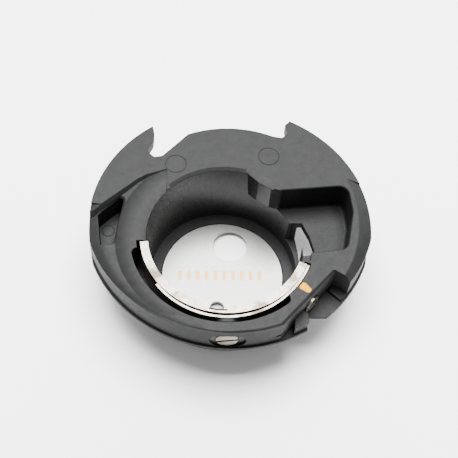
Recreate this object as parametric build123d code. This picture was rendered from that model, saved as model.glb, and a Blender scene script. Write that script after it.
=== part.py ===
from build123d import *
import math
import os

# Drop-in bobbin case of a horizontal rotary hook. Millimetres, +Z up.
# The origin is on the bobbin well's axis, at the underside of the cup.
# -Y points at the tension adjusting screw. The hook race's axis lies a little behind the well's.

# Driving dimensions
TOP_Z = 12.6                    # flat top of the guide flange
WELL_FLOOR_Z = 1.1              # plastic floor of the bobbin well
WELL_TOP_R = 11.0               # well radius at the top
WELL_FLOOR_R = 10.55            # well radius at the floor: the wall has draft
CUP_R = 11.9                    # outside of the cup, which seats in the hook basket
CUP_EDGE = 1.1                  # chamfer round the cup's foot
RACE_X, RACE_Y = 0.76, 2.43     # axis of the hook race
FLANGE_R = 19.65                # guide flange, round the race axis
FLANGE_T = 1.7                  # thickness of the flange
SKIN_T = 1.3                    # usual wall of the moulding

# Skirt and rim below the flange, at the front and the sides
RIM_T = 0.4                     # thin rim at the skirt's foot
RIM_LEDGE = 0.3                 # how far it stands out from the wall
RIM_TOP_Z = TOP_Z - 4.8
RIM_R, RIM_BACK = 20.7, 3.5     # rim circle, and how far its centre lies behind the race axis
SHOULDER_R, SHOULDER_BACK = 17.9, 0.85
WAIST_DROP = 0.66               # the slope ends this far below the top, over the rim's centre,
WAIST_TILT = 1.4                # and a little lower towards the front
CREST_EDGE = 0.3                # rounding of the ridge at the front
SIDE_LIMIT_R = 19.65            # the sides stop at this radius from the race axis

# Tilted shelf and crowned arc wall on the left, beside the blades
SHELF_X = -4.0                  # the shelf leaves the flange's level here and falls to the left
SHELF_TILT = 3.5
SHELF_EDGE = 2.5                # rounding of its outer edge
SHELF_SHIFT = 1.5               # the rounding is let out by this much at the front, where it meets the ridge
CROWN_END_X = -8.2
CROWN_OUT_R = 15.4
CROWN_DROP_IN, CROWN_DROP_OUT = 0.25, 0.8

# Pockets: floor depths below the top, and the chamfer round their mouths
POCKET_DROP, LEFT_POCKET_DROP = 5.0, 4.2
MOUTH_EDGE = 0.14
GATE_DROP = 9.3                 # sill of the gate between the well and the slot through the pocket

# Lug at the well's back right edge, and the bevel round the well's back edge
LUG_T = 5.0
LUG_TILT = 14.0
BEVEL_W, BEVEL_DROP = 0.5, 0.3

# Ejector pin marks: x, y and radius of the rings, and the groove's size
EJECTOR_RINGS = ((-6.93, 11.87, 1.5), (6.47, 13.37, 1.5))
POCKET_RING = (-16.45, 3.1, 0.85)
RING_W, RING_DEPTH = 0.12, 0.05

# Blades, in a slot round the front of the well
SLOT_IN_R, SLOT_OUT_R = 11.42, 13.15
SLOT_Z = TOP_Z - 5.2
BLADE_T = 0.3
BLADE_H = 4.4
WEB_OUT_R = 11.77               # outer face of the inner blade's web
LIP_IN_R = 10.7                 # free edge of the inner blade's lip
LIP_DROP = 0.08                 # lip's top below the flange's top
LEAF_BOW_R = 11.36              # inner face of the bowed tension leaf
LEAF_BOW_SHIFT = 0.76           # its centre lies this far towards the adjusting screw
LEAF_FOOT_R = 11.86             # inner face of the leaf's clamped end

# Tension adjusting screw: axis along Y, in the front wall
SCREW_Z = TOP_Z - 3.05
SCREW_R = 1.5
SCREW_FACE_Y = -14.4
SCREW_TIP_Y = -13.3
NUT_W, NUT_H = 4.9, 3.9
NUT_OUT_Y, NUT_IN_Y = -14.05, -13.4
PAD_R = 1.3
PAD_FACE_Y = -12.5

# Blade clamp screw, square to the flat wall of the recess at the front right
CHORD_ANGLE = -43.0             # direction that the flat wall faces
CHORD_R = 14.45                 # its distance from the well's axis
CLAMP_ALONG = 1.3               # the screw's place along the wall
CLAMP_Z = TOP_Z - 2.75
CLAMP_HEAD_R, CLAMP_SHANK_R = 1.25, 0.75

# Base plate inlaid in the floor
PLATE_R, PLATE_T = 8.84, 0.5
EYE_X, EYE_Y, EYE_R = 1.26, 5.04, 2.6
PIN_HOLE_X, PIN_HOLE_Y, PIN_HOLE_R = -0.87, -5.3, 1.05

REACH = 45.0                    # longer than anything on the part
HIGH = 20.0


def polar(radius, angle, x=0.0, y=0.0):
    """A point at an angle in degrees round (x, y)."""
    turn = math.radians(angle)
    return (x + radius * math.cos(turn), y + radius * math.sin(turn))


def column(radius, low, high, x=0.0, y=0.0):
    """An upright cylinder between two heights."""
    return Pos(x, y, low) * Cylinder(radius, high - low, align=(Align.CENTER, Align.CENTER, Align.MIN))


def slab(outline, low, high):
    """A flat outline extruded between two heights."""
    return extrude(Pos(0, 0, low) * outline, high - low)


def polygon(*points):
    return make_face(Polyline(*points, close=True))


def rounded(outline, radius):
    """An outline with all its corners rounded."""
    return fillet(outline.vertices(), radius)


def fan(start, end, x=0.0, y=0.0):
    """A wide wedge from one angle to a larger one, round (x, y)."""
    steps = max(2, math.ceil((end - start) / 30))
    rim = [polar(REACH, start + (end - start) * i / steps, x, y) for i in range(steps + 1)]
    return polygon((x, y), *rim)


def ring_sector(inner, outer, start, end, low, high, x=0.0, y=0.0):
    """Part of a ring, between two radii, two angles and two heights."""
    ring = column(outer, low, high, x, y) - column(inner, low - 1, high + 1, x, y)
    return ring & slab(fan(start, end, x, y), low, high)


def rounded_sector(inner, outer, start, end, low, high):
    """A ring sector with a round end at each side."""
    middle, half = (inner + outer) / 2, (outer - inner) / 2
    body = ring_sector(inner, outer, start, end, low, high)
    for angle in (start, end):
        body += column(half, low, high, *polar(middle, angle))
    return body


def across(radius, start, end, height, x=0.0):
    """A cylinder along Y, between two places on Y."""
    place = Location((x, start, height), (-90, 0, 0))
    return place * Cylinder(radius, end - start, align=(Align.CENTER, Align.CENTER, Align.MIN))


def clamp_place(distance):
    """A frame on the clamp screw's axis: its Z points out of the flat wall."""
    out = Vector(*polar(1.0, CHORD_ANGLE))
    along = Vector(*polar(1.0, CHORD_ANGLE + 90))
    origin = out * distance + along * CLAMP_ALONG + Vector(0, 0, CLAMP_Z)
    return Plane(origin=origin, x_dir=along, z_dir=out)


def clamp_rod(radius, start, end):
    """A cylinder on the clamp screw's axis, between two distances from the well's axis."""
    rod = Cylinder(radius, end - start, align=(Align.CENTER, Align.CENTER, Align.MIN))
    return clamp_place(start) * rod


def beyond_chord(low, high, inset=0.0):
    """Everything past the flat wall at the front right."""
    block = Box(REACH, REACH, high - low, align=(Align.MIN, Align.CENTER, Align.MIN))
    return Rot(0, 0, CHORD_ANGLE) * (Pos(CHORD_R - inset, 0, low) * block)


def skirt(shrink=0.0, top=TOP_Z, edge=0.0):
    """The outer wall: a straight wall with a sloping top, cut off at the sides."""
    x, y = RACE_X, RACE_Y + RIM_BACK
    tilt = math.radians(WAIST_TILT)
    waist = Plane(origin=(x, y, top - WAIST_DROP), x_dir=(1, 0, 0),
                  z_dir=(0, -math.sin(tilt), math.cos(tilt)))
    wall = Circle(RIM_R - RIM_LEDGE - shrink)
    shoulder = Pos(RACE_X, RACE_Y + SHOULDER_BACK, top) * Circle(SHOULDER_R - shrink)
    body = loft([Pos(x, y, RIM_TOP_Z - RIM_T) * wall, waist * wall, shoulder], ruled=True)
    if edge:
        body = fillet(body.edges().sort_by(Axis.Z)[-1], edge)
    return body & column(SIDE_LIMIT_R - shrink, 0, HIGH, RACE_X, RACE_Y)


def rim():
    """The thin rim at the skirt's foot."""
    low = RIM_TOP_Z - RIM_T
    return column(RIM_R, low, RIM_TOP_Z + 0.05, RACE_X, RACE_Y + RIM_BACK) & column(
        SIDE_LIMIT_R, low, HIGH, RACE_X, RACE_Y)


def back_gap():
    """The gap between the two horns, where the machine's stop holds the case."""
    back_r = 15.95
    left = polar(back_r, 112, RACE_X, RACE_Y)
    middle = polar(back_r, 90, RACE_X, RACE_Y)
    right = polar(back_r, 66, RACE_X, RACE_Y)
    back = ThreePointArc(left, middle, right)
    rest = Polyline(right, (8.6, 16.75), (9.45, 17.6), (9.05, 19.0), (10.6, 20.6), (10.6, 30),
                    (-12.6, 30), (-10.1, 17.3), (-10.25, 15.9), (-11.1, 14.2), (-10.1, 13.1),
                    (-8.9, 13.3), left)
    face = make_face(back + rest)
    corners = [v for v in face.vertices() if v.Y < 20]
    return slab(fillet(corners, 0.45), 0, HIGH)


def pocket_outline(grow=0.0):
    """The deep pocket on the right, open to the well."""
    face = polygon((3.6, 9.6), (6.2, 7.35), (17.6, 8.45), (17.95, 4.0), (16.7, -2.0), (9.0, -2.9), (5.0, 0.0))
    corner = [v for v in face.vertices() if v.X > 15]
    face = fillet(corner, 1.4)
    return offset(face, grow) if grow else face


def left_pocket_outline(grow=0.0):
    face = rounded(polygon((-17.75, 3.7), (-14.75, 6.6), (-14.2, 6.3), (-15.4, -0.9), (-17.2, -1.2)), 0.22)
    return offset(face, grow) if grow else face


def shelf():
    """What is cut away over the lowered shelf on the left, with a sloping step up to the flange."""
    lowered = Pos(SHELF_X, 0, TOP_Z) * Rot(0, -SHELF_TILT, 0) * Pos(SHELF_SHIFT - SHELF_X, 0, -TOP_Z) * skirt(
        shrink=-0.3 - SHELF_SHIFT, edge=SHELF_EDGE)
    step = polygon((-30, 3.0), (-18.4, 3.0), (-17.7, 3.15), (-16.9, 3.6), (-13.1, 6.85), (-11.6, 8.15),
                   (-10.4, 8.9), (-9.5, 9.2), (-9.5, 7.2), (SHELF_X, 0), (SHELF_X, -26), (-30, -26))
    return extrude(Pos(0, 0, TOP_Z - 1.9) * step, 3.0, taper=-35) - lowered


def crown():
    """The rounded arc wall that stands on the shelf, round the well."""
    low = TOP_Z - 2.5
    inner = (WELL_TOP_R - 0.15, TOP_Z - CROWN_DROP_IN)
    outer = (CROWN_OUT_R, TOP_Z - CROWN_DROP_OUT)
    arc = ThreePointArc(inner, (12.7, TOP_Z), outer)
    rest = Polyline(outer, (CROWN_OUT_R, low), (inner[0], low), inner)
    ring = revolve(Plane.XZ * make_face(arc + rest), Axis.Z, 360)
    left = slab(polygon((CROWN_END_X, -1), (CROWN_END_X, 20), (-24, 20), (-24, -1)), 0, HIGH)
    return ring & (left + slab(fan(180, 270), 0, HIGH)) & skirt()


def lug():
    """The lug in the well's back right edge, between the bevel and the pocket."""
    outline = polygon((2.6, 11.3), (3.2, 10.6), (4.84, 9.03), (6.6, 7.85),
                      (7.9, 7.5), (9.5, 9.5), (5.0, 13.0))
    return slab(outline, TOP_Z - LUG_T, TOP_Z)


def lug_facet():
    """The shallow slope on top of the lug, falling towards the well."""
    out_x, out_y = polar(1.0, 58)
    fall = math.tan(math.radians(LUG_TILT))
    slope = Plane(origin=(*polar(11.45, 58), TOP_Z), x_dir=(-out_y, out_x, 0),
                  z_dir=(-fall * out_x, -fall * out_y, 1))
    above = slope * Box(REACH, REACH, 3.0, align=(Align.CENTER, Align.CENTER, Align.MIN))
    return above & slab(fan(48, 74), 0, HIGH)


def well_bevel():
    """The bevel round the back of the well's top edge."""
    inner, outer = WELL_TOP_R - 0.2, WELL_TOP_R + BEVEL_W
    low = TOP_Z - BEVEL_DROP
    high = TOP_Z + 1
    face = polygon((inner, low), (WELL_TOP_R - 0.05, low), (outer, TOP_Z), (outer, high), (inner, high))
    ring = revolve(Plane.XZ * face, Axis.Z, 360)
    return ring & slab(fan(72, 134), 0, HIGH)


def flange():
    """The flat guide flange round the back, which ends in a slanting edge on the right."""
    right_end = polygon((16.9, 9.9), (19.45, 8.75), (23, 7.1), (23, 14))
    region = slab(fan(23.5, 172, RACE_X, RACE_Y), 0, HIGH) + slab(right_end, 0, HIGH)
    return column(FLANGE_R, TOP_Z - FLANGE_T, TOP_Z, RACE_X, RACE_Y) & region


def underside():
    """The hollow under the skirt, outside the cup and the pockets."""
    deep = RIM_R - SKIN_T - 0.6
    hollow = skirt(SKIN_T, TOP_Z - 1.9) + column(deep, 0, RIM_TOP_Z - SKIN_T + 0.1, RACE_X, RACE_Y + RIM_BACK)
    hollow -= column(SLOT_OUT_R + 1.3, 0, HIGH)
    hollow -= slab(pocket_outline(1.2), 0, HIGH)
    hollow -= slab(left_pocket_outline(1.0), 0, HIGH)
    return hollow - beyond_chord(0, HIGH, inset=1.6)


def pocket_walls():
    """The walls and floors of both pockets, below the top."""
    limit = column(SIDE_LIMIT_R - 0.3, 0, HIGH, RACE_X, RACE_Y)
    right = slab(pocket_outline(1.2), TOP_Z - POCKET_DROP - 1.2, TOP_Z - FLANGE_T)
    left = slab(left_pocket_outline(0.9), RIM_TOP_Z - RIM_T, TOP_Z - 2.0)
    return (right + left) & limit


def cup():
    """The round cup, with a chamfer at its foot."""
    body = column(CUP_R, 0, TOP_Z)
    return chamfer(body.edges().sort_by(Axis.Z)[0], CUP_EDGE)


def holder_body():
    """The moulded holder."""
    sides = slab(fan(170, 384, RACE_X, RACE_Y), 0, HIGH)
    body = ((skirt(edge=CREST_EDGE) + rim()) & sides) + flange()
    body += column(SLOT_OUT_R + 1.3, SLOT_Z - 1.0, TOP_Z)
    body -= underside() & sides
    body += pocket_walls()
    body += cup()

    body -= shelf() - column(WELL_TOP_R - 0.3, 0, HIGH)
    body += crown()
    body -= left_pocket()
    body -= well_and_pocket()
    body += lug()
    body -= lug_facet()
    body -= well_bevel()
    body -= blade_slot()
    body -= recess()
    body -= screw_cuts()
    body -= plate_seat()
    body -= ejector_marks()
    body -= back_gap()
    return body


def pocket_cut(outline, drop, mouth, corner):
    """A pocket with a rounded floor edge and a chamfer round its mouth."""
    cut = slab(outline, TOP_Z - drop, HIGH)
    cut = fillet(cut.edges().filter_by_position(Axis.Z, TOP_Z - drop - 0.01, TOP_Z - drop + 0.01), corner)
    return cut + extrude(Pos(0, 0, mouth - MOUTH_EDGE) * outline, 2 * MOUTH_EDGE, taper=-45)


def left_pocket():
    return pocket_cut(left_pocket_outline(), LEFT_POCKET_DROP, TOP_Z - 0.75, 0.2)


def well_and_pocket():
    """The bobbin well, the pocket beside it, the gate between them and the slot that goes right through."""
    well = loft([Pos(0, 0, WELL_FLOOR_Z) * Circle(WELL_FLOOR_R), Pos(0, 0, TOP_Z + 0.5) * Circle(WELL_TOP_R)],
                ruled=True)
    pocket = pocket_cut(pocket_outline(), POCKET_DROP, TOP_Z, 0.45)
    gate = slab(polygon((8.0, 5.1), (11.25, 5.1), (11.1, -2.4), (8.0, -2.4)), TOP_Z - GATE_DROP, HIGH)
    slot_edge = polygon((10.75, 5.1), (11.35, 5.1), (12.3, 2.9), (12.85, 0.6), (12.95, -2.4),
                        (11.3, -2.4), (11.2, 0.5), (11.1, 2.6))
    sill = slab(polygon((9.4, -4.3), (11.45, -3.9), (11.7, -2.2), (9.4, -2.2)), TOP_Z - 0.8, HIGH)
    return well + pocket + gate + slab(slot_edge, -1, HIGH) + sill


def ring_groove(x, y, radius, floor):
    return column(radius + RING_W / 2, floor - RING_DEPTH, floor + 0.3, x, y) - column(
        radius - RING_W / 2, floor - 1, floor + 1, x, y)


def ejector_marks():
    """The faint rings that the mould's ejector pins leave."""
    marks = ring_groove(*POCKET_RING, TOP_Z - LEFT_POCKET_DROP)
    for x, y, radius in EJECTOR_RINGS:
        marks += ring_groove(x, y, radius, TOP_Z)
    return marks


def blade_slot():
    """The slot that the blades stand in, with room for the leaf to move."""
    wide = rounded_sector(SLOT_IN_R + 0.1, SLOT_OUT_R, 193, 308, SLOT_Z, HIGH)
    narrow = ring_sector(SLOT_IN_R, LEAF_FOOT_R + BLADE_T + 0.12, 184, 339, SLOT_Z, HIGH)
    under_lip = ring_sector(LIP_IN_R - 1, SLOT_IN_R + 0.2, 184, 339, TOP_Z - 0.55, HIGH)
    return wide + narrow + under_lip


def recess():
    """The open corner at the front right, where the blades' clamp screw is reached."""
    side = fan(-90, -32, 14.6, -5.3) + fan(-160, -88, 14.6, -5.3)
    corner = beyond_chord(RIM_TOP_Z, HIGH) & slab(side, 0, HIGH)
    notch = slab(polygon((11.05, -10.15), (14.25, -10.15), (15.1, -9.6), (17.3, -6.95), (24, -6.95),
                         (24, -24), (11.05, -24)), 0, HIGH)
    notch = notch - column(SLOT_OUT_R + 0.5, 0, HIGH)
    tab = slab(polygon((9.3, -9.0), (9.0, -14.6), (11.1, -12.4), (11.1, -9.0)), 0, RIM_TOP_Z + 1.9)
    outline = polygon((6.6, -12.9), (11.5, -12.3), (14, -16), (6.6, -16))
    groove = slab(outline, RIM_TOP_Z + 1.2, RIM_TOP_Z + 1.6)
    fin = slab(polygon((14.25, -6.2), (16.5, -8.3), (20, -6.5), (16, -3)), 0, RIM_TOP_Z + 0.5)
    edge = clamp_edge() & slab(side, 0, HIGH)
    return (corner - tab - fin) + notch - (notch & fin) + groove + edge


def clamp_edge():
    """The chamfer along the top of the flat wall."""
    wedge = Rot(0, 45, 0) * Box(0.45, REACH, 0.45)
    return Rot(0, 0, CHORD_ANGLE) * (Pos(CHORD_R, 0, TOP_Z) * wedge)


def screw_cuts():
    """The adjusting screw's window and nut seat, and the clamp screw's holes."""
    window = Plane((0.1, 0, SCREW_Z - 0.1), x_dir=(1, 0, 0), z_dir=(0, -1, 0)) * SlotOverall(4.9, 3.2)
    cuts = extrude(Pos(0, NUT_OUT_Y, 0) * window, 4)
    cuts += Pos(0, (NUT_OUT_Y + NUT_IN_Y) / 2, SCREW_Z) * Box(NUT_W, NUT_OUT_Y * -1 + NUT_IN_Y, NUT_H)
    cuts += across(SCREW_R + 0.1, NUT_IN_Y - 0.1, -12.5, SCREW_Z)
    cuts += clamp_rod(CLAMP_HEAD_R + 0.12, CHORD_R - 0.55, CHORD_R + 3)
    cuts += clamp_rod(CLAMP_SHANK_R + 0.03, 10.0, CHORD_R + 1)
    cuts += index_outline(TOP_Z - 0.12, HIGH)
    return cuts


def plate_seat():
    """The base plate's seat in the floor, and the openings under it."""
    cuts = column(PLATE_R + 0.15, WELL_FLOOR_Z - PLATE_T, WELL_FLOOR_Z + 1)
    cuts += column(EYE_R + 0.3, -1, WELL_FLOOR_Z, EYE_X, EYE_Y)
    cuts += column(PIN_HOLE_R + 0.3, -1, WELL_FLOOR_Z, PIN_HOLE_X, PIN_HOLE_Y)
    return cuts


def base_plate():
    """The steel disc in the floor of the well."""
    plate = column(PLATE_R, WELL_FLOOR_Z - PLATE_T, WELL_FLOOR_Z)
    plate -= column(EYE_R, -1, HIGH, EYE_X, EYE_Y)
    plate -= column(PIN_HOLE_R, -1, HIGH, PIN_HOLE_X, PIN_HOLE_Y)
    return plate


def inner_blade():
    """The fixed blade: an upright web with a lip turned in over the well's edge."""
    top = TOP_Z - LIP_DROP
    start, end = 185.0, 338.0
    web = ring_sector(WEB_OUT_R - BLADE_T, WEB_OUT_R, start, end, top - BLADE_H, top)
    lip = ring_sector(LIP_IN_R, WEB_OUT_R - BLADE_T / 2, start, end, top - BLADE_T, top)
    notch = ring_sector(LIP_IN_R - 1, WEB_OUT_R - BLADE_T, 257.5, 270.0, top - 1, HIGH)
    return web + lip - notch - clamp_rod(CLAMP_SHANK_R + 0.03, 10.0, CHORD_R)


def outer_blade():
    """The tension leaf: bowed where the screw bears on it, and clamped at its right end."""
    top = TOP_Z - LIP_DROP - 0.05
    low = top - BLADE_H + 0.4
    cx, cy = polar(LEAF_BOW_SHIFT, -93)
    bow = ring_sector(LEAF_BOW_R, LEAF_BOW_R + BLADE_T, 216, 314, low, top, cx, cy)
    foot = ring_sector(LEAF_FOOT_R, LEAF_FOOT_R + BLADE_T, 311, 337.5, low, top)
    return bow + foot - clamp_rod(CLAMP_SHANK_R + 0.12, 10.0, CHORD_R)


def slotted(screw, face, depth, width):
    """A screw with a driver slot across its end face; face is the plane of that end."""
    slot = Box(10, width, depth * 2)
    return screw - face * slot


def tension_screw():
    """The slotted adjusting screw."""
    body = across(SCREW_R, SCREW_FACE_Y, SCREW_TIP_Y, SCREW_Z)
    face = Plane((0, SCREW_FACE_Y, SCREW_Z), x_dir=(math.cos(math.radians(12)), 0, math.sin(math.radians(12))),
                 z_dir=(0, -1, 0))
    return slotted(chamfer(body.edges().sort_by(Axis.Y)[0], 0.12), face, 0.45, 0.42)


def tension_nut():
    """The threaded plate, seated behind the window, that carries the adjusting screw."""
    nut = Pos(0, (NUT_OUT_Y + NUT_IN_Y) / 2, SCREW_Z) * Box(NUT_W, NUT_IN_Y - NUT_OUT_Y, NUT_H)
    return nut - across(SCREW_R + 0.03, -20, 0, SCREW_Z)


def pressure_pad():
    """The nylon pad between the adjusting screw and the tension leaf."""
    return across(PAD_R, SCREW_TIP_Y, PAD_FACE_Y, SCREW_Z)


def clamp_screw():
    """The screw that holds both blades against the wall."""
    head = clamp_rod(CLAMP_HEAD_R, CHORD_R - 0.5, CHORD_R + 0.3)
    body = head + clamp_rod(CLAMP_SHANK_R, WEB_OUT_R - BLADE_T - 0.1, CHORD_R - 0.4)
    return slotted(body, clamp_place(CHORD_R + 0.3) * Rot(0, 0, 30), 0.35, 0.4)


def index_outline(low, high):
    mark = polygon((9.7, -7.8), (10.2, -7.2), (10.55, -7.35), (11.3, -8.25),
                   (11.0, -8.75), (10.65, -8.75), (9.7, -8.15))
    return slab(rounded(mark, 0.12), low, high)


def index_mark():
    """The paint in the shallow index mark."""
    return index_outline(TOP_Z - 0.12, TOP_Z - 0.03)


PARTS = {
    "holder_body": holder_body,
    "base_plate": base_plate,
    "inner_blade": inner_blade,
    "outer_blade": outer_blade,
    "tension_screw": tension_screw,
    "tension_nut": tension_nut,
    "pressure_pad": pressure_pad,
    "clamp_screw": clamp_screw,
    "index_mark": index_mark,
}

os.makedirs("parts", exist_ok=True)
for name, make in PARTS.items():
    export_step(make(), f"parts/{name}.step")
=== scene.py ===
import math

import bpy
from mathutils import Matrix, Vector


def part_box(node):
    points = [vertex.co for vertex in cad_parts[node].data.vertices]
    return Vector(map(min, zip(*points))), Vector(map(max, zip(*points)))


# The looks of a drop-in bobbin case: camera, materials, studio and lights.

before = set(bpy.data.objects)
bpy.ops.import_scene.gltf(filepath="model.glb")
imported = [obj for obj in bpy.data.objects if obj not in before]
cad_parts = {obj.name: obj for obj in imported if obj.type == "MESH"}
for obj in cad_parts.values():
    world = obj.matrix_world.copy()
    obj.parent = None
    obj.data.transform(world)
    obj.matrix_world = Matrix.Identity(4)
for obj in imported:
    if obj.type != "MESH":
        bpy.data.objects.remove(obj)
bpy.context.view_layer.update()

MM = 0.001
BODY_LOW, BODY_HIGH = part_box("holder_body")
TOP_Z = BODY_HIGH.z
WELL_R = 11.0 * MM              # the bobbin well's radius at its mouth
STROKES = 10                    # the plain strokes etched in a row in the plate
STROKE_PITCH = 1.3 * MM
STROKE_SHARE = 0.42             # a stroke's share of the pitch
STROKE_HALF = 0.75 * MM         # half its length


# ---------------------------------------------------------------- camera

VIEW_ELEVATION = 58.53          # degrees above the horizon
VIEW_AZIMUTH = 5.9              # degrees that the case is turned under the camera
VIEW_ROLL = -5.43
VIEW_DISTANCE = 130 * MM
VIEW_RIGHT, VIEW_UP = 0.33 * MM, 0.91 * MM     # how far the axis passes beside the well's axis
FRAME_WIDTH = 458
FOCAL_PIXELS = 947.8
SENSOR = 36.0


def make_camera():
    """A camera that looks at the well's mouth from the front, rolled a little."""
    tilt = math.radians(VIEW_ELEVATION)
    turn = Matrix.Rotation(math.radians(-VIEW_AZIMUTH), 3, "Z")
    right = Vector((1, 0, 0))
    up = Vector((0, math.sin(tilt), math.cos(tilt)))
    ahead = Vector((0, math.cos(tilt), -math.sin(tilt)))
    place = right * VIEW_RIGHT + up * VIEW_UP - ahead * VIEW_DISTANCE
    roll = math.radians(VIEW_ROLL)
    across = right * math.cos(roll) - up * math.sin(roll)
    over = right * math.sin(roll) + up * math.cos(roll)
    basis = Matrix((across, over, -ahead)).transposed()
    data = bpy.data.cameras.new("camera")
    data.sensor_width = SENSOR
    data.lens = SENSOR * FOCAL_PIXELS / FRAME_WIDTH
    data.clip_start, data.clip_end = 0.005, 5.0
    camera = bpy.data.objects.new("camera", data)
    stand = turn @ place + Vector((0, 0, TOP_Z))
    camera.matrix_world = Matrix.Translation(stand) @ (turn @ basis).to_4x4()
    bpy.context.scene.collection.objects.link(camera)
    bpy.context.scene.camera = camera


# ---------------------------------------------------------------- materials

def new_material(name):
    """A node material: returns it, its tree and its shader."""
    material = bpy.data.materials.new(name)
    material.use_nodes = True
    tree = material.node_tree
    return material, tree, tree.nodes["Principled BSDF"]


def node(tree, kind, **values):
    """Adds a node and sets its inputs by name, or its properties."""
    made = tree.nodes.new(kind)
    for key, value in values.items():
        if hasattr(made, key):
            setattr(made, key, value)
        else:
            made.inputs[key].default_value = value
    return made


def noise(tree, scale, detail=3.0, rough=0.55, stretch=(1, 1, 1)):
    """Noise in object space; scale is in features per metre."""
    place = node(tree, "ShaderNodeTexCoord")
    mapping = node(tree, "ShaderNodeMapping")
    mapping.inputs["Scale"].default_value = stretch
    tree.links.new(place.outputs["Object"], mapping.inputs["Vector"])
    made = node(tree, "ShaderNodeTexNoise", Scale=scale, Detail=detail, Roughness=rough)
    tree.links.new(mapping.outputs["Vector"], made.inputs["Vector"])
    return made.outputs["Fac"]


def ramp(tree, source, stops):
    """A colour ramp of (place, colour) stops."""
    made = tree.nodes.new("ShaderNodeValToRGB")
    elements = made.color_ramp.elements
    while len(elements) < len(stops):
        elements.new(0.5)
    for element, (place, colour) in zip(elements, stops):
        element.position = place
        element.color = (*colour, 1)
    tree.links.new(source, made.inputs["Fac"])
    return made.outputs["Color"]


def between(tree, source, low, high, start=0.0, end=1.0):
    """Maps start..end of a socket to low..high."""
    made = node(tree, "ShaderNodeMapRange")
    for place, value in enumerate((start, end, low, high), start=1):
        made.inputs[place].default_value = value
    tree.links.new(source, made.inputs["Value"])
    return made.outputs["Result"]


def spread(tree, source, low, high):
    """Maps the usual range of a noise to low..high."""
    return between(tree, source, low, high, 0.3, 0.7)


def bump(tree, shader, source, depth, strength=1.0, under=None):
    """Bumps the shader's surface, over another normal where there is one."""
    made = node(tree, "ShaderNodeBump", Strength=strength, Distance=depth)
    tree.links.new(source, made.inputs["Height"])
    if under:
        tree.links.new(under, made.inputs["Normal"])
    tree.links.new(made.outputs["Normal"], shader.inputs["Normal"])


def grey(value, tint=(1.0, 1.0, 1.0)):
    """A grey, or a grey with a tint."""
    return tuple(value * part for part in tint)


def mix(tree, amount, low, high):
    """Blends two colours by a factor socket. Each colour is a tuple or a socket."""
    made = node(tree, "ShaderNodeMix", data_type="RGBA")
    tree.links.new(amount, made.inputs["Factor"])
    for place, value in (("A", low), ("B", high)):
        socket = [s for s in made.inputs if s.name == place and s.type == "RGBA"][0]
        if isinstance(value, tuple):
            socket.default_value = (*value, 1)
        else:
            tree.links.new(value, socket)
    return [s for s in made.outputs if s.type == "RGBA"][0]


def maths(tree, operation, first, second=0.0):
    """A maths node of two sockets, or of a socket and a number."""
    made = node(tree, "ShaderNodeMath", operation=operation)
    tree.links.new(first, made.inputs[0])
    if isinstance(second, float):
        made.inputs[1].default_value = second
    else:
        tree.links.new(second, made.inputs[1])
    return made.outputs["Value"]


def measure(tree, quantity):
    """The X, Y and Z of the surface's world position or normal, in metres."""
    place = node(tree, "ShaderNodeNewGeometry")
    split = node(tree, "ShaderNodeSeparateXYZ")
    tree.links.new(place.outputs[quantity], split.inputs["Vector"])
    return split.outputs


def well_wall(tree):
    """1 on the well's upright wall and 0 everywhere else on the moulding."""
    position = measure(tree, "Position")
    squares = [maths(tree, "POWER", position[axis], 2.0) for axis in ("X", "Y")]
    radius = maths(tree, "SQRT", maths(tree, "ADD", *squares))
    inside = maths(tree, "LESS_THAN", radius, WELL_R + 0.1 * MM)
    upright = maths(tree, "LESS_THAN", maths(tree, "ABSOLUTE", measure(tree, "Normal")["Z"]), 0.4)
    return maths(tree, "MULTIPLY", inside, upright)


def etched_strokes(tree):
    """1 on a row of plain strokes across the plate, and 0 elsewhere."""
    position = measure(tree, "Position")
    phase = maths(tree, "FRACT", maths(tree, "DIVIDE", position["X"], STROKE_PITCH))
    stroke = maths(tree, "LESS_THAN", phase, STROKE_SHARE)
    row = maths(tree, "LESS_THAN", maths(tree, "ABSOLUTE", position["Y"]), STROKE_HALF)
    span = maths(tree, "LESS_THAN", maths(tree, "ABSOLUTE", position["X"]), STROKE_PITCH * STROKES / 2)
    return maths(tree, "MULTIPLY", stroke, maths(tree, "MULTIPLY", row, span))


def black_plastic():
    """Moulded glass-filled plastic: matt grain, faint mottling, a few pale specks, a glossier well wall
    that is painted a lighter grey as painted bounce light.
    """
    material, tree, shader = new_material("black_plastic")
    dark, pale = grey(0.0085, (1, 1.01, 1.04)), grey(0.0120, (1, 1.01, 1.03))
    mottle = ramp(tree, noise(tree, 900, 4), [(0.3, dark), (0.7, pale)])
    specks = ramp(tree, noise(tree, 5200, 2), [(0.72, (0, 0, 0)), (0.80, (1, 1, 1))])
    grain = mix(tree, specks, mottle, grey(0.035))
    # The well's upright wall gets a lighter grey: painted fill light that stands in for light bounced into
    # the well.
    wall_painted_fill = ramp(tree, noise(tree, 1500, 4), [(0.3, grey(0.019)), (0.7, grey(0.025))])
    wall = well_wall(tree)
    tree.links.new(mix(tree, wall, grain, wall_painted_fill), shader.inputs["Base Color"])
    matt = spread(tree, noise(tree, 2500), 0.46, 0.58)
    tree.links.new(maths(tree, "SUBTRACT", matt, between(tree, wall, 0.0, 0.2)), shader.inputs["Roughness"])
    tree.links.new(between(tree, wall, 0.10, 0.25), shader.inputs["Specular IOR Level"])
    edge = node(tree, "ShaderNodeBevel", samples=4, Radius=0.12 * MM)
    bump(tree, shader, noise(tree, 7000, 3), 0.012 * MM, 0.5, under=edge.outputs["Normal"])
    return material


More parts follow.
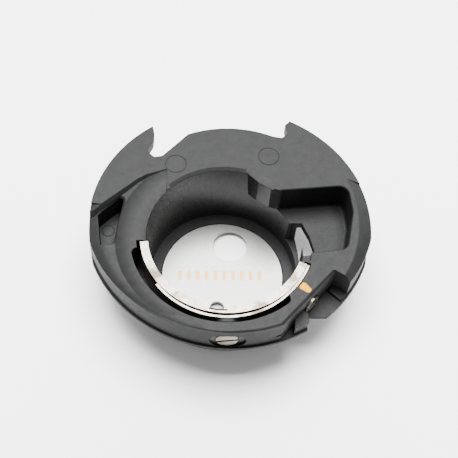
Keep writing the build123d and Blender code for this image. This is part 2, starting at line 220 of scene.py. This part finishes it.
def floor_steel():
    """Satin stainless plate with a fine blasted grain and a row of tan etched strokes."""
    material, tree, shader = new_material("floor_steel")
    shader.inputs["Metallic"].default_value = 1.0
    warm = grey(0.20, (1, 0.995, 0.94))
    tan = (0.19, 0.115, 0.045)
    colour = ramp(tree, noise(tree, 6500, 5, 0.7), [(0.35, grey(0.14)), (0.65, warm)])
    tree.links.new(mix(tree, etched_strokes(tree), colour, tan), shader.inputs["Base Color"])
    tree.links.new(spread(tree, noise(tree, 7000, 3), 0.30, 0.42), shader.inputs["Roughness"])
    bump(tree, shader, noise(tree, 9000, 3), 0.006 * MM, 0.5)
    return material


def polished_steel(name, tone, rough_low, rough_high):
    """Spring steel or turned steel: faint streaks, and duller worn patches."""
    material, tree, shader = new_material(name)
    shader.inputs["Metallic"].default_value = 1.0
    streaks = noise(tree, 1500, 4, stretch=(1, 1, 6))
    dark, bright = grey(tone * 0.7, (1, 0.84, 0.66)), grey(tone, (1, 0.93, 0.82))
    colour = ramp(tree, streaks, [(0.3, dark), (0.7, bright)])
    worn = ramp(tree, noise(tree, 420, 3), [(0.50, (0, 0, 0)), (0.66, (1, 1, 1))])
    dull = grey(tone * 0.26, (1, 0.80, 0.60))
    tree.links.new(mix(tree, worn, colour, dull), shader.inputs["Base Color"])
    tree.links.new(spread(tree, noise(tree, 3500, 3, stretch=(1, 1, 4)), rough_low, rough_high),
                   shader.inputs["Roughness"])
    bump(tree, shader, noise(tree, 8000, 2), 0.004 * MM, 0.5)
    return material


def black_steel():
    """Blackened steel with a little rubbed wear."""
    material, tree, shader = new_material("black_steel")
    shader.inputs["Metallic"].default_value = 0.8
    colour = ramp(tree, noise(tree, 3000), [(0.3, grey(0.02)), (0.62, grey(0.04)), (0.8, grey(0.10))])
    tree.links.new(colour, shader.inputs["Base Color"])
    tree.links.new(spread(tree, noise(tree, 5000), 0.35, 0.6), shader.inputs["Roughness"])
    bump(tree, shader, noise(tree, 6000), 0.006 * MM, 0.5)
    return material


def pale_nylon():
    """Milky blue nylon, slightly translucent."""
    material, tree, shader = new_material("pale_nylon")
    colour = ramp(tree, noise(tree, 2000), [(0.3, (0.36, 0.45, 0.55)), (0.7, (0.44, 0.53, 0.62))])
    tree.links.new(colour, shader.inputs["Base Color"])
    tree.links.new(spread(tree, noise(tree, 3000), 0.35, 0.5), shader.inputs["Roughness"])
    shader.inputs["Subsurface Weight"].default_value = 0.2
    shader.inputs["Subsurface Scale"].default_value = 0.0005
    bump(tree, shader, noise(tree, 4000), 0.006 * MM, 0.5)
    return material


def yellow_paint():
    """Thick yellow paint, uneven and a little worn."""
    material, tree, shader = new_material("yellow_paint")
    thick, thin = (0.56, 0.28, 0.002), (0.40, 0.17, 0.001)
    colour = ramp(tree, noise(tree, 3500, 4), [(0.28, thin), (0.62, thick)])
    tree.links.new(colour, shader.inputs["Base Color"])
    tree.links.new(spread(tree, noise(tree, 5000), 0.4, 0.6), shader.inputs["Roughness"])
    shader.inputs["Specular IOR Level"].default_value = 0.04
    bump(tree, shader, noise(tree, 4000), 0.03 * MM, 0.6)
    return material


def dress_frame():
    """Gives every CAD node its material."""
    blade = polished_steel("blade_steel", 0.24, 0.32, 0.44)
    screw = polished_steel("screw_steel", 0.26, 0.28, 0.42)
    looks = {
        "holder_body": black_plastic(), "base_plate": floor_steel(),
        "inner_blade": blade, "outer_blade": blade,
        "tension_screw": screw, "clamp_screw": screw, "tension_nut": black_steel(),
        "pressure_pad": pale_nylon(), "index_mark": yellow_paint(),
    }
    for name, material in looks.items():
        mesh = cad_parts[name].data
        mesh.materials.clear()
        mesh.materials.append(material)


# ---------------------------------------------------------------- studio

def plain(name, colour, rough=0.9):
    """Pale matt paper with a hardly visible mottling."""
    material, tree, shader = new_material(name)
    shade = ramp(tree, noise(tree, 60, 2), [(0.3, grey(colour * 0.985)), (0.7, grey(colour))])
    tree.links.new(shade, shader.inputs["Base Color"])
    shader.inputs["Roughness"].default_value = rough
    return material


def make_floor():
    """The plain floor that the case stands on."""
    bpy.ops.mesh.primitive_plane_add(size=3.0, location=(0, 0, BODY_LOW.z))
    floor = bpy.context.object
    floor.name = "floor"
    floor.data.materials.append(plain("floor_paper", 0.92))


def area_light(name, place, aim, size, watts):
    """A soft rectangular lamp, aimed at a point."""
    data = bpy.data.lights.new(name, "AREA")
    data.shape = "RECTANGLE"
    data.size, data.size_y = size
    data.energy = watts
    light = bpy.data.objects.new(name, data)
    light.location = place
    light.rotation_euler = (Vector(aim) - Vector(place)).to_track_quat("-Z", "Y").to_euler()
    bpy.context.scene.collection.objects.link(light)


def light_scene():
    """An even white surround, a large lamp overhead and a weaker one behind."""
    world = bpy.data.worlds.new("studio")
    world.use_nodes = True
    world.node_tree.nodes["Background"].inputs["Color"].default_value = (1, 1, 1, 1)
    world.node_tree.nodes["Background"].inputs["Strength"].default_value = 0.62
    bpy.context.scene.world = world
    middle = (0, 0, TOP_Z)
    area_light("overhead", (0.0, 0.12, 0.40), middle, (0.35, 0.25), 11.0)
    area_light("back", (0.08, 0.50, 0.22), middle, (0.6, 0.2), 3.0)


make_camera()
dress_frame()
make_floor()
light_scene()
